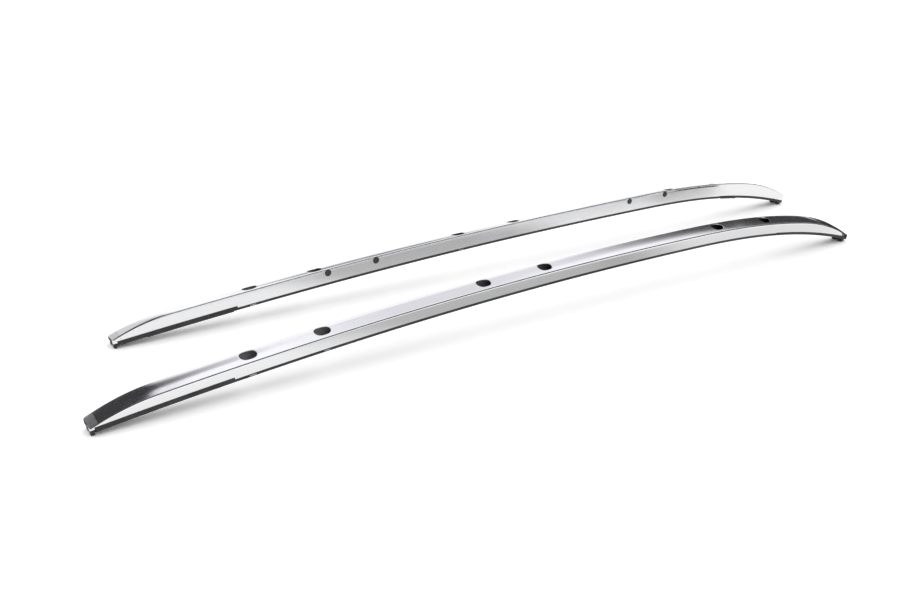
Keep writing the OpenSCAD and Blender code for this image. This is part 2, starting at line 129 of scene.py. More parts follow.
# Each patch has a name, a middle, its reach along and across, and the share of light left.
patches = (
    ("front_shade", (-0.06, -0.34), (0.56, 0.16), 0.52),
    ("front_rear_shade", (0.62, -0.34), (0.50, 0.16), 0.82),
    ("middle_shade", (-0.08, -0.05), (0.42, 0.12), 0.56),
    ("middle_rear_shade", (0.80, -0.085), (0.16, 0.07), 0.72),
)
sheet, tree, shader = new_material("white_sheet")
shader.inputs["Roughness"].default_value = paper_roughness
shader.inputs["Specular IOR Level"].default_value = 0.0
place = add_node(tree, "ShaderNodeTexCoord")
ray = add_node(tree, "ShaderNodeLightPath")
tint = add_node(tree, "ShaderNodeRGB")
tint.outputs[0].default_value = paper_white
colour = tint.outputs[0]
for name, centre, radii, left in patches:
    shift = add_node(tree, "ShaderNodeMapping", vector_type="POINT", name=name, values={
        "Location": (-centre[0] / radii[0], -centre[1] / radii[1], 0),
        "Scale": (1 / radii[0], 1 / radii[1], 0)})
    size = add_node(tree, "ShaderNodeVectorMath", operation="LENGTH")
    tree.links.new(place.outputs["Object"], shift.inputs["Vector"])
    tree.links.new(shift.outputs["Vector"], size.inputs[0])
    inside = smooth_range(tree, size.outputs["Value"], patch_core, patch_rim, 1.0, 0.0)
    amount = combine(tree, "MULTIPLY", inside, ray.outputs["Is Glossy Ray"])
    darken = add_node(tree, "ShaderNodeMixRGB", blend_type="MULTIPLY", values={
        "Color2": (left, left, left, 1)})
    tree.links.new(amount, darken.inputs["Fac"])
    tree.links.new(colour, darken.inputs["Color1"])
    colour = darken.outputs["Color"]
glare = add_node(tree, "ShaderNodeVectorMath", operation="SCALE")
glare_seen = smooth_range(tree, ray.outputs["Is Camera Ray"], 0.0, 1.0, 1.0, paper_glare)
tree.links.new(glare_seen, glare.inputs["Scale"])
tree.links.new(colour, glare.inputs[0])
tree.links.new(glare.outputs[0], shader.inputs["Base Color"])
bm = bmesh.new()
bmesh.ops.create_grid(bm, x_segments=2, y_segments=2, size=table_half)
bmesh.ops.translate(bm, verts=bm.verts, vec=(0, 0, -table_drop))
table = new_object(bm, "table", sheet)

card_x, card_height = 0.862, 0.075
card_corners = ((-0.195, 0.0), (-0.12, 0.0), (-0.02, 0.035))
black_paper, tree, shader = new_material("black_paper")
shader.inputs["Base Color"].default_value = paper_black
shader.inputs["Roughness"].default_value = paper_roughness
bm = bmesh.new()
for v in bmesh.ops.create_grid(bm, x_segments=len(card_corners) - 1, y_segments=1, size=1.0)["verts"]:
    y, low = card_corners[round((v.co.x + 1) / 2 * (len(card_corners) - 1))]
    v.co = (card_x, y, low if v.co.y < 0 else card_height)
card = new_object(bm, "black_card", black_paper)
for kind in ("camera", "diffuse", "shadow", "transmission", "volume_scatter"):
    setattr(card, "visible_" + kind, False)

# The room is white for the camera and lights the rails evenly from all round. The metal
# mirrors a tent of white cloth with a dark opening to the left, black ones beyond the
# rear end and behind the camera, a grey panel at the back, and seams overhead.
tent_white, tent_seam, tent_front_seam, tent_low_left = 1.12, 0.80, 0.64, 0.72
grey_panel_shade, left_opening_shade, behind_camera_shade = 0.27, 0.036, 0.05
rear_opening_rim, rear_opening_core = 0.085, 0.045
room_light = 1.05
glossy_tint = (0.985, 0.98, 1.03, 1)
grey_panel_direction, rear_opening_direction = (0.41, 0.88, 0.24), (0.9, 0.34, 0.25)
# Each pair is the soft edge of one mask, along an axis of the sight line or a direction.
opening_foot, opening_side, low_left_side = (0.33, 0.48), (0.02, 0.125), (0.04, 0.18)
opening_widens, opening_narrows, wide_by, narrow_by = (0.42, 0.64), (0.73, 0.84), 0.078, 0.022
panel_edge, front_seam_stop, far_rail_top = (0.984, 0.999), (0.21, 0.27), (0.06, 0.16)
camera_side, camera_head = (-0.45, -0.15), (0.45, 0.7)
rear_rim_edge, rear_core_edge = (0.868, 0.935), (0.935, 0.98)
# Each seam has an angle over the rails in degrees, a soft edge in radians, its soft limits
# towards the rear, and its brightness.
front_seam_angle, front_seam_edge = 43, (0.08, 0.22)
seams = (
    (33, (0.24, 0.38), (0.27, 0.36, 0.50, 0.60), tent_seam),
    (40, (0.14, 0.26), (0.50, 0.60, 0.70, 0.80), tent_seam),
)
world = bpy.data.worlds.new("tent")
bpy.context.scene.world = world
world.use_nodes = True
tree = world.node_tree
background = tree.nodes["Background"]
ray = add_node(tree, "ShaderNodeLightPath")
place = add_node(tree, "ShaderNodeTexCoord")
axis = add_node(tree, "ShaderNodeSeparateXYZ")
tree.links.new(place.outputs["Generated"], axis.inputs[0])
sight_x, sight_y, sight_z = (axis.outputs[key] for key in "XYZ")


def facing(direction):
    """How closely the sight line points in a direction, from -1 to 1."""
    node = add_node(tree, "ShaderNodeVectorMath", operation="DOT_PRODUCT")
    node.inputs[1].default_value = Vector(direction).normalized()
    tree.links.new(place.outputs["Generated"], node.inputs[0])
    return node.outputs["Value"]


def fade(amount, value):
    """Blends the tent's brightness towards a value by an amount."""
    node = add_node(tree, "ShaderNodeMix", data_type="FLOAT", values={"B": value})
    tree.links.new(amount, node.inputs["Factor"])
    if isinstance(tent, float):
        node.inputs["A"].default_value = tent
    else:
        tree.links.new(tent, node.inputs["A"])
    return node.outputs["Result"]


tent = tent_white
sight_tilt = combine(tree, "ARCTAN2", sight_y, sight_z)


def off_tilt(degrees):
    """How far the sight line is from a lengthways seam of the tent, in radians."""
    return combine(tree, "ABSOLUTE", combine(tree, "SUBTRACT", sight_tilt, math.radians(degrees)), 0.0)


def above(source, limits):
    """1 above a soft edge, 0 below it."""
    return smooth_range(tree, source, *limits)


def below(source, limits):
    """1 below a soft edge, 0 above it."""
    return smooth_range(tree, source, *limits, 1.0, 0.0)


def both(first, second):
    """Where two masks of the tent meet."""
    return combine(tree, "MULTIPLY", first, second)


for angle, edge, limits, brightness in seams:
    seam = below(off_tilt(angle), edge)
    stretch = both(above(sight_x, limits[:2]), below(sight_x, limits[2:]))
    tent = fade(both(seam, stretch), brightness)
front_seam = below(off_tilt(front_seam_angle), front_seam_edge)
tent = fade(both(front_seam, below(sight_x, front_seam_stop)), tent_front_seam)
tent = fade(above(facing(grey_panel_direction), panel_edge), grey_panel_shade)
widened = smooth_range(tree, sight_y, *opening_widens, 0.0, wide_by)
narrowed = smooth_range(tree, sight_y, *opening_narrows, 0.0, narrow_by)
left_edge = combine(tree, "SUBTRACT", sight_x, combine(tree, "SUBTRACT", widened, narrowed))
tent = fade(both(below(left_edge, opening_side), above(sight_z, opening_foot)), left_opening_shade)
tent = fade(both(below(sight_x, low_left_side), below(sight_z, opening_foot)), tent_low_left)
tent = fade(both(below(sight_y, camera_side), below(sight_z, camera_head)), behind_camera_shade)
rear_side, over_far_rail = facing(rear_opening_direction), above(sight_z, far_rail_top)
tent = fade(both(above(rear_side, rear_rim_edge), over_far_rail), rear_opening_rim)
tent = fade(both(above(rear_side, rear_core_edge), over_far_rail), rear_opening_core)

choose_mirror = add_node(tree, "ShaderNodeMix", data_type="FLOAT", values={"A": room_light})
tree.links.new(ray.outputs["Is Glossy Ray"], choose_mirror.inputs["Factor"])
tree.links.new(tent, choose_mirror.inputs["B"])
choose_camera = add_node(tree, "ShaderNodeMix", data_type="FLOAT", values={"B": 1.0})
tree.links.new(ray.outputs["Is Camera Ray"], choose_camera.inputs["Factor"])
tree.links.new(choose_mirror.outputs["Result"], choose_camera.inputs["A"])
tree.links.new(choose_camera.outputs["Result"], background.inputs["Strength"])
tint = add_node(tree, "ShaderNodeMix", data_type="RGBA")
tint.inputs[6].default_value = (1, 1, 1, 1)
tint.inputs[7].default_value = glossy_tint
tree.links.new(ray.outputs["Is Glossy Ray"], tint.inputs["Factor"])
tree.links.new(tint.outputs[2], background.inputs["Color"])

lamp_data = bpy.data.lights.new("overhead_softbox", "AREA")
lamp_data.shape = "RECTANGLE"
lamp_data.size, lamp_data.size_y = 2.4, 1.6
lamp_data.energy = 3.0
lamp = bpy.data.objects.new("overhead_softbox", lamp_data)
lamp.location = (0.2, 0.5, 2.4)
lamp.visible_glossy = False
bpy.context.scene.collection.objects.link(lamp)

# Each rail is one bent aluminium extrusion, polished along its length and clear anodised.
# It rises gently from the front, crests and drops steeply to the rear, its walls taper in
# both noses, and slots, bolt holes and plug recesses are milled into it afterwards.

# Lengths are in millimetres along one rail, from its front end.
rail_length, rail_width, rail_stagger, pair_spacing = 1800.0, 34.0, 118.0, 295.0
half = rail_width / 2
wall, floor_wall = 2.2, 3.0
outer_wall_front, outer_wall_rear = 21.1, 23.3
tilt_front, tilt_rear = 5.8, 9.3
top_crown = 1.8
outer_edge_r, inner_edge_r = 2.4, 1.6
foot_edge_r = 0.5
nose_solid = 62.0
crest_x, crest_height = 1255.0, 68.0
front_clearance, rear_clearance = 4.4, 2.5
front_power, rear_power = 2.2, 2.55
plan_bow = 13.0
outer_rise_front, outer_rise_rear = 0.1, 1.6
front_nose, rear_nose, nose_power = 112.0, 167.0, 2.0
front_nose_share, rear_nose_share = 0.22, 0.23
front_tilt_share, rear_tilt_share = 0.6, 0.88
end_round = 3.0
seam_round = 0.3
polish_loss = 0.1
seal_thickness = 5.4
cap_length = 15.0
front_pad_start, front_pad_end = 8.0, 235.0
rear_pad_start, rear_pad_end = 1541.0, 1797.0
fixings = [266.0, 403.0, 741.0, 887.0, 1363.5, 1514.5]
slot_length, slot_width, slot_offset = 30.0, 23.0, 1.0
bush_r = 5.7
bars = [425.0, 533.0, 1222.5, 1339.5]
bar_drop = 8.2
recess_r, recess_depth, insert_hole_r = 6.8, 1.0, 4.5
sides = {"left": -1, "right": 1}


def mix(a, b, t):
    """From a at 0 to b at 1."""
    return a + (b - a) * t


def arch(x):
    """Height of the underside of the seal at the inner edge."""
    if x < crest_x:
        return mix(front_clearance, crest_height, 1 - (1 - x / crest_x) ** front_power)
    return mix(rear_clearance, crest_height, 1 - ((x - crest_x) / (rail_length - crest_x)) ** rear_power)


def lean(x):
    """Slope of the arch, by which each section leans to stand square to the rail."""
    if x < crest_x:
        rise = (crest_height - front_clearance) * front_power / crest_x
        return rise * (1 - x / crest_x) ** (front_power - 1)
    run = rail_length - crest_x
    return -(crest_height - rear_clearance) * rear_power / run * ((x - crest_x) / run) ** (rear_power - 1)


def bow(x):
    """How far the rail bows sideways towards the other one."""
    return plan_bow * (1 - (2 * x / rail_length - 1) ** 2)


def outer_rise(x):
    """How much higher the outer edge of the underside is than the inner one."""
    return mix(outer_rise_front, outer_rise_rear, x / rail_length)


def nose_left(x, front_share, rear_share):
    """What the two noses leave of a full size."""
    front = max(0.0, 1 - x / front_nose) ** nose_power
    rear = max(0.0, 1 - (rail_length - x) / rear_nose) ** nose_power
    return 1 - (1 - front_share) * front - (1 - rear_share) * rear


def wall_share(x):
    """The share of the wall height that the noses leave."""
    return nose_left(x, front_nose_share, rear_nose_share)


def width_share(x):
    """The share of the width that the rounded ends leave."""
    depth = max(0.0, end_round - min(x, rail_length - x)) / end_round
    return (half - end_round * (1 - math.sqrt(max(0.0, 1 - depth * depth)))) / half


def underside(x, y):
    """Height of the underside of the seal."""
    return arch(x) + outer_rise(x) * (0.5 - y / rail_width)


def rail_bottom(x, y):
    """Height of the underside of the rail."""
    return underside(x, y) + seal_thickness


def wall_height(x):
    """Height of the outer wall, without the edges."""
    return mix(outer_wall_front, outer_wall_rear, x / rail_length) * wall_share(x)


def tilt(x):
    """How much higher the inner edge of the top is than the outer one."""
    full = outer_rise(x) + mix(tilt_front, tilt_rear, x / rail_length)
    return full * nose_left(x, front_tilt_share, rear_tilt_share)


def top(x, y):
    """Height of the crowned top."""
    across = y / rail_width + 0.5
    flat = mix(rail_bottom(x, -half), rail_bottom(x, half) + tilt(x), across) + wall_height(x)
    return flat + 4 * top_crown * wall_share(x) * across * (1 - across) - polish_loss


def top_slope(x, y):
    """Slope of the top across the rail."""
    rise = rail_bottom(x, half) + tilt(x) - rail_bottom(x, -half)
    return rise / rail_width - 8 * top_crown * wall_share(x) * y / rail_width ** 2


def placed(side, along, across, z):
    """A point of the scene from its plan place beside one rail, in millimetres."""
    return Vector((
        (along - (rail_length + rail_stagger) / 2 + (rail_stagger if side > 0 else 0)) / 1000,
        side * (pair_spacing / 2 - across) / 1000,
        z / 1000))


def plan_place(side, co):
    """The plan place beside one rail, in millimetres, of a point of the scene."""
    along = co.x * 1000 + (rail_length + rail_stagger) / 2 - (rail_stagger if side > 0 else 0)
    return along, pair_spacing / 2 - side * co.y * 1000


def in_section(side, x, y, z):
    """A point of the section at x, which leans with the rail and follows its bow."""
    return placed(side, x - lean(x) * (z - arch(x)), y * width_share(x) + bow(x), z)


def station_under(along, height):
    """The station whose leaning section passes through a plan place, at a height that it gives."""
    x = along
    for _ in range(4):
        x = along + lean(x) * (height(x) - arch(x))
    return x


def span(a, b, count):
    """Evenly spaced places from a up to the last one before b."""
    return [mix(a, b, i / count) for i in range(count)]


def swept(bm, side, stations, section):
    """A tube through one closed section at each station, as a grid of its vertices."""
    count = len(section(stations[0]))
    made = bmesh.ops.create_grid(bm, x_segments=len(stations) - 1, y_segments=count, size=1.0)["verts"]
    grid = {}
    for v in made:
        row = round((v.co.x + 1) / 2 * (len(stations) - 1))
        grid[row, round((v.co.y + 1) / 2 * count)] = v
    for row, x in enumerate(stations):
        points = section(x)
        for column in range(count + 1):
            grid[row, column].co = in_section(side, x, *points[column % count])
    return grid


def close_end(bm, grid, row, columns):
    """Closes one end of a swept tube with a flat face, and returns the edges round it."""
    bmesh.ops.remove_doubles(bm, verts=[grid[row, 0], grid[row, columns]], dist=1e-7)
    ring = {v for v in (grid[row, column] for column in range(columns)) if v.is_valid}
    edges = [e for e in bm.edges if e.is_boundary and all(v in ring for v in e.verts)]
    bmesh.ops.edgeloop_fill(bm, edges=edges)
    return edges


def close_ends(bm, grid, stations, section):
    """Closes both ends of a swept tube."""
    for row in (0, len(stations) - 1):
        close_end(bm, grid, row, len(section(stations[row])))


def soften(bm, edges, radius, segments=2):
    """Rounds edges by a radius in millimetres."""
    bm.normal_update()
    bmesh.ops.bevel(
        bm, geom=edges, offset=radius / 1000, offset_type="OFFSET", segments=segments,
        profile=0.5, affect="EDGES", material=-1, clamp_overlap=True)


def finish(bm, name, material, sharp=32.0):
    """Closes the seams, points the faces outwards and makes the object."""
    bmesh.ops.remove_doubles(bm, verts=bm.verts, dist=1e-7)
    bmesh.ops.recalc_face_normals(bm, faces=bm.faces)
    for face in bm.faces:
        face.smooth = True
    for edge in bm.edges:
        edge.smooth = edge.is_manifold and edge.calc_face_angle(0) < math.radians(sharp)
    piece = new_object(bm, name, material)
    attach(piece, "root")
    return piece


def named_sockets(name, inputs, outputs):
    """An empty node group with its inputs and outputs."""
    group = bpy.data.node_groups.new(name, "ShaderNodeTree")
    for label, kind, default in inputs:
        socket = group.interface.new_socket(name=label, in_out="INPUT", socket_type=kind)
        if default is not None:
            socket.default_value = default
    for label, kind in outputs:
        group.interface.new_socket(name=label, in_out="OUTPUT", socket_type=kind)
    return group, group.nodes.new("NodeGroupInput"), group.nodes.new("NodeGroupOutput")


# Fine lines along the piece, as drawing and polishing leave them.
drawn_lines, given, result = named_sockets(
    "drawn_lines",
    [("Vector", "NodeSocketVector", None),
     ("Along", "NodeSocketFloat", 3.0), ("Across", "NodeSocketFloat", 1200.0)],
    [("Lines", "NodeSocketFloat")])
scale = add_node(drawn_lines, "ShaderNodeCombineXYZ")
stretched = add_node(drawn_lines, "ShaderNodeVectorMath", operation="MULTIPLY")
lines = add_node(drawn_lines, "ShaderNodeTexNoise", values={"Scale": 1.0, "Detail": 4.0, "Roughness": 0.6})
for target, source in (("X", "Along"), ("Y", "Across"), ("Z", "Across")):
    drawn_lines.links.new(given.outputs[source], scale.inputs[target])
drawn_lines.links.new(given.outputs["Vector"], stretched.inputs[0])
drawn_lines.links.new(scale.outputs[0], stretched.inputs[1])
drawn_lines.links.new(stretched.outputs[0], lines.inputs["Vector"])
drawn_lines.links.new(lines.outputs["Fac"], result.inputs["Lines"])

# Soft smudges left by handling and by the anodising bath.
smudges, given, result = named_sockets(
    "smudges",
    [("Vector", "NodeSocketVector", None),
     ("Size", "NodeSocketFloat", 18.0), ("Cover", "NodeSocketFloat", 0.5)],
    [("Mask", "NodeSocketFloat")])
cloud = add_node(smudges, "ShaderNodeTexNoise", values={"Detail": 5.0, "Roughness": 0.55, "Distortion": 0.4})
smudges.links.new(given.outputs["Vector"], cloud.inputs["Vector"])
smudges.links.new(given.outputs["Size"], cloud.inputs["Scale"])
excess = combine(smudges, "SUBTRACT", cloud.outputs["Fac"], given.outputs["Cover"])
smudges.links.new(smooth_range(smudges, excess, -0.12, 0.18), result.inputs["Mask"])

# A moulded or sand-blasted skin: grains as a height, with pale dust in the hollows.
moulded_grain, given, result = named_sockets(
    "moulded_grain",
    [("Vector", "NodeSocketVector", None),
     ("Grain", "NodeSocketFloat", 900.0), ("Dust", "NodeSocketFloat", 40.0)],
    [("Height", "NodeSocketFloat"), ("Dust", "NodeSocketFloat")])
grains = add_node(moulded_grain, "ShaderNodeTexVoronoi", feature="SMOOTH_F1")
speckle = add_node(moulded_grain, "ShaderNodeTexNoise", values={"Detail": 6.0, "Roughness": 0.7})
for node, source in ((grains, "Grain"), (speckle, "Dust")):
    moulded_grain.links.new(given.outputs["Vector"], node.inputs["Vector"])
    moulded_grain.links.new(given.outputs[source], node.inputs["Scale"])
moulded_grain.links.new(grains.outputs["Distance"], result.inputs["Height"])
moulded_grain.links.new(smooth_range(moulded_grain, speckle.outputs["Fac"], 0.5, 0.75), result.inputs["Dust"])


def place_group(tree, group, values=None):
    """A node group in a material, reading the piece's own coordinates."""
    node = add_node(tree, "ShaderNodeGroup", node_tree=group, values=values)
    place = tree.nodes.get("own_place") or add_node(tree, "ShaderNodeTexCoord", name="own_place")
    tree.links.new(place.outputs["Object"], node.inputs["Vector"])
    return node


def blend_colours(tree, mask, first, second):
    """One colour where the mask is 0, another where it is 1."""
    node = add_node(tree, "ShaderNodeMix", data_type="RGBA")
    node.inputs[6].default_value = (*first, 1)
    node.inputs[7].default_value = (*second, 1)
    tree.links.new(mask, node.inputs["Factor"])
    return node.outputs[2]


def paint(tree, shader, mask, first, second):
    """Gives the surface a blend of two colours."""
    tree.links.new(blend_colours(tree, mask, first, second), shader.inputs["Base Color"])


def roughen(tree, shader, mask, smooth, rough, low=0.0, high=1.0):
    """Roughness from one value where the mask is low to another where it is high."""
    tree.links.new(smooth_range(tree, mask, low, high, smooth, rough), shader.inputs["Roughness"])


def emboss(tree, shader, height, strength, depth):
    """Raises the surface by a height, in metres where the height is 1."""
    relief = add_node(tree, "ShaderNodeBump", values={"Strength": strength, "Distance": depth})
    tree.links.new(height, relief.inputs["Height"])
    tree.links.new(relief.outputs["Normal"], shader.inputs["Normal"])


# The last of these colours is painted shade for the inside of the hollow.
bright_metal, drawn_metal, painted_shade_metal = (0.85, 0.855, 0.87), (0.91, 0.91, 0.912), (0.18, 0.185, 0.185)
pressed_metal = (0.90, 0.905, 0.91)
line_contrast, polish_roughness, smudge_roughness = (0.3, 0.7), (0.09, 0.17), 0.05
# Where the painted shade in the hollow starts and ends along the rails, and how much of the mix it takes.
shade_start, shade_end, shade_share = -0.5, 0.3, 0.88
fine_relief = 0.0002
aluminium, tree, shader = new_material("polished_aluminium")
shader.inputs["Metallic"].default_value = 1.0
fine = place_group(tree, drawn_lines, {"Along": 2.5, "Across": 1500.0})
broad = place_group(tree, drawn_lines, {"Along": 1.2, "Across": 260.0})
marks = place_group(tree, smudges, {"Size": 14.0, "Cover": 0.52})
paint(tree, shader, broad.outputs["Lines"], bright_metal, drawn_metal)
polished = smooth_range(tree, fine.outputs["Lines"], *line_contrast, *polish_roughness)
smudged = smooth_range(tree, marks.outputs["Mask"], 0.0, 1.0, 0.0, smudge_roughness)
tree.links.new(combine(tree, "ADD", polished, smudged), shader.inputs["Roughness"])
emboss(tree, shader, fine.outputs["Lines"], 0.06, fine_relief)

# The hollow keeps the finish of the mill; painted shade darkens its colour towards the rear.
mill_finish_and_shade, tree, shader = new_material("mill_finish_aluminium")
shader.inputs["Metallic"].default_value = 1.0
fine = place_group(tree, drawn_lines, {"Along": 4.0, "Across": 700.0})
place = add_node(tree, "ShaderNodeTexCoord")
along_rail = add_node(tree, "ShaderNodeSeparateXYZ")
tree.links.new(place.outputs["Object"], along_rail.inputs[0])
# Painted shade: the hollow's colour darkens towards the rear.
painted_shade = smooth_range(tree, along_rail.outputs["X"], shade_start, shade_end, 0.0, shade_share)
streaks = smooth_range(tree, fine.outputs["Lines"], 0.0, 1.0, 0.0, 1 - shade_share)
paint(tree, shader, combine(tree, "ADD", painted_shade, streaks), pressed_metal, painted_shade_metal)
roughen(tree, shader, fine.outputs["Lines"], 0.42, 0.6, *line_contrast)

# The section runs across the floor, up the outer wall, over the crowned top and down the
# inner wall, with a rounded edge on each side of the top.
floor_steps, wall_steps, top_steps = 8, 6, 18
outer_arc, inner_arc = 8, 7
facet_turn, facet_share = math.radians(22), 0.7
top_first = floor_steps + 2 + wall_steps + outer_arc - 1
inner_wall_first = top_first + top_steps + inner_arc


def rounded_edge(radius, turn, steps):
    """The edge from a wall to the top, as depths into the width and heights up the wall.

    It leaves the wall in a narrow flat at facet_turn, then follows an arc.
    """
    flat = facet_share * radius
    arc = radius - flat * 0.8
    start = (flat * math.sin(facet_turn), flat * math.cos(facet_turn))
    edge = [(0.0, 0.0), (start[0] * 0.12, start[1] * 0.12), (start[0] * 0.9, start[1] * 0.9)]
    for a in span(facet_turn, turn, steps - len(edge)) + [turn]:
        edge.append((
            start[0] + arc * (math.cos(facet_turn) - math.cos(a)),
            start[1] + arc * (math.sin(a) - math.sin(facet_turn))))
    return edge


def skin_section(x):
    """The outline of the rail at a station."""
    outer_turn = math.pi / 2 - math.atan(top_slope(x, -half + outer_edge_r * 0.6))
    outer_edge = rounded_edge(outer_edge_r, outer_turn, outer_arc)
    y0 = -half + outer_edge[-1][0]
    outer_z = top(x, y0) - outer_edge[-1][1]
    inner_turn = math.pi / 2 + math.atan(top_slope(x, half - inner_edge_r * 0.6))
    inner_edge = rounded_edge(inner_edge_r, inner_turn, inner_arc)
    y1 = half - inner_edge[-1][0]
    inner_z = top(x, y1) - inner_edge[-1][1]
    edge = half - foot_edge_r
    points = [(y, rail_bottom(x, y)) for y in span(edge, -edge, floor_steps) + [-edge]]
    low = rail_bottom(x, -half) + foot_edge_r
    points += [(-half, z) for z in span(low, outer_z, wall_steps)]
    points += [(-half + depth, outer_z + rise) for depth, rise in outer_edge[:-1]]
    points += [(y, top(x, y)) for y in span(y0, y1, top_steps) + [y1]]
    points += [(half - depth, inner_z + rise) for depth, rise in reversed(inner_edge[1:-1])]
    low = rail_bottom(x, half) + foot_edge_r
    points += [(half, z) for z in span(inner_z, low, wall_steps) + [low]]
    return points


def hollow_floor(x, y):
    """Height of the floor of the hollow."""
    return rail_bottom(x, y) + floor_wall


def hollow_roof(x, y):
    """Height of the roof of the hollow."""
    return top(x, y) - wall


def hollow_section(x):
    """The outline of the hollow at a station, in the same order as the skin's."""
    side = half - wall
    floor_left, floor_right = hollow_floor(x, -side), hollow_floor(x, side)
    roof_left, roof_right = hollow_roof(x, -side), hollow_roof(x, side)
    points = [(y, hollow_floor(x, y)) for y in span(side, -side, floor_steps)]
    points += [(-side, z) for z in span(floor_left, roof_left, wall_steps)]
    points += [(y, hollow_roof(x, y)) for y in span(-side, side, top_steps)]
    points += [(side, z) for z in span(roof_right, floor_right, wall_steps)]
    return points


hollow_top_first = floor_steps + wall_steps
hollow_inner_first = hollow_top_first + top_steps
slot_reach, bolt_reach, bar_reach = 20.0, 9.5, 10.0
front_bend, rear_bend = 100.0, rail_length - 170.0
hole_pitch, bend_pitch, plain_pitch = 3.2, 5.0, 9.0
breaks = sorted(
    [cap_length, front_bend, rear_bend, rail_length - cap_length, nose_solid, rail_length - nose_solid]
    + [x + step * slot_reach for x in fixings for step in (-1, 1)]
    + [x + step * bolt_reach for x in fixings for step in (-1, 1)]
    + [x + step * bar_reach for x in bars for step in (-1, 1)])
rail_stations = []
for a, b in zip(breaks, breaks[1:]):
    near_hole = any(abs((a + b) / 2 - x) < slot_reach for x in fixings + bars)
    in_bend = b <= front_bend or a >= rear_bend
    pitch = hole_pitch if near_hole else bend_pitch if in_bend else plain_pitch
    rail_stations += span(a, b, max(1, round((b - a) / pitch)))
rail_stations.append(breaks[-1])
hollow_stations = [x for x in rail_stations if nose_solid <= x <= rail_length - nose_solid]


def outline_point(du, dw, radius, reach):
    """Where a ray from the middle of an oblong or round hole meets its outline."""
    length = math.hypot(du, dw)
    u, w = du / length, dw / length
    if abs(w) > 1e-9 and abs(u / w) * radius <= reach:
        t = radius / abs(w)
    else:
        centre = reach if u > 0 else -reach
        t = u * centre + math.sqrt(u * u * reach * reach - reach * reach + radius * radius)
    return u * t, w * t


def lift_patch(bm, grid, stations, x, reach, first, steps):
    """Takes a rectangle of faces out of a skin, and returns the edges round the opening."""
    rows = [row for row, station in enumerate(stations) if abs(station - x) < reach + 0.01]
    inside = {grid[row, column] for row in rows for column in range(first, first + steps + 1)}
    faces = [f for f in bm.faces if all(v in inside for v in f.verts)]
    bmesh.ops.delete(bm, geom=faces, context="FACES")
    edges = [e for e in bm.edges if e.is_boundary and all(v in inside for v in e.verts)]
    bmesh.ops.delete(bm, geom=[v for v in inside if v.is_valid and not v.link_faces], context="VERTS")
    return edges


def draw_in(bm, edges, locate, settle, centre, radius, reach, amount):
    """Extrudes an opening's edges and draws the new ones in towards the outline of the hole."""
    made = bmesh.ops.extrude_edge_only(bm, edges=edges)["geom"]
    verts = {g for g in made if isinstance(g, bmesh.types.BMVert)}
    for v in verts:
        u, w = locate(v.co)
        du, dw = u - centre[0], w - centre[1]
        ou, ow = outline_point(du, dw, radius, reach)
        v.co = settle(centre[0] + mix(du, ou, amount), centre[1] + mix(dw, ow, amount))
    return [g for g in made if isinstance(g, bmesh.types.BMEdge) and all(v in verts for v in g.verts)]


def on_surface(side, surface, drop=0.0):
    """Puts a plan place on a lengthways surface of one rail, or a little below it."""
    def settle(along, across):
        x = station_under(along, lambda x: surface(x, across - bow(x)))
        return placed(side, along, across, surface(x, across - bow(x)) - drop)
    return settle


def on_inner_wall(side, depth):
    """Puts a place along the rail and up it on the inner wall, or a little behind it."""
    def settle(along, z):
        x = station_under(along, lambda x: z)
        return placed(side, along, half - depth + bow(x), z)
    return settle


def plan_finder(side):
    """Finds the plan place of a point of the scene, beside one rail."""
    return lambda co: plan_place(side, co)


def wall_finder(side):
    """Finds how far along one rail and how high a point of the scene lies."""
    return lambda co: (plan_place(side, co)[0], co.z * 1000)


def bar_height(x):
    """Height of the middle of a crossbar point."""
    return rail_bottom(x, half) + wall_height(x) + tilt(x) - bar_drop


# Round a slot the top turns down in steps, each with its growth over the slot and its depth.
rim_steps = ((0.1, 0.03), (0.03, 0.1), (0.0, 0.2), (0.0, 1.9))
rim_growth, hollow_growth, bush_gap = 0.2, 0.25, 0.1
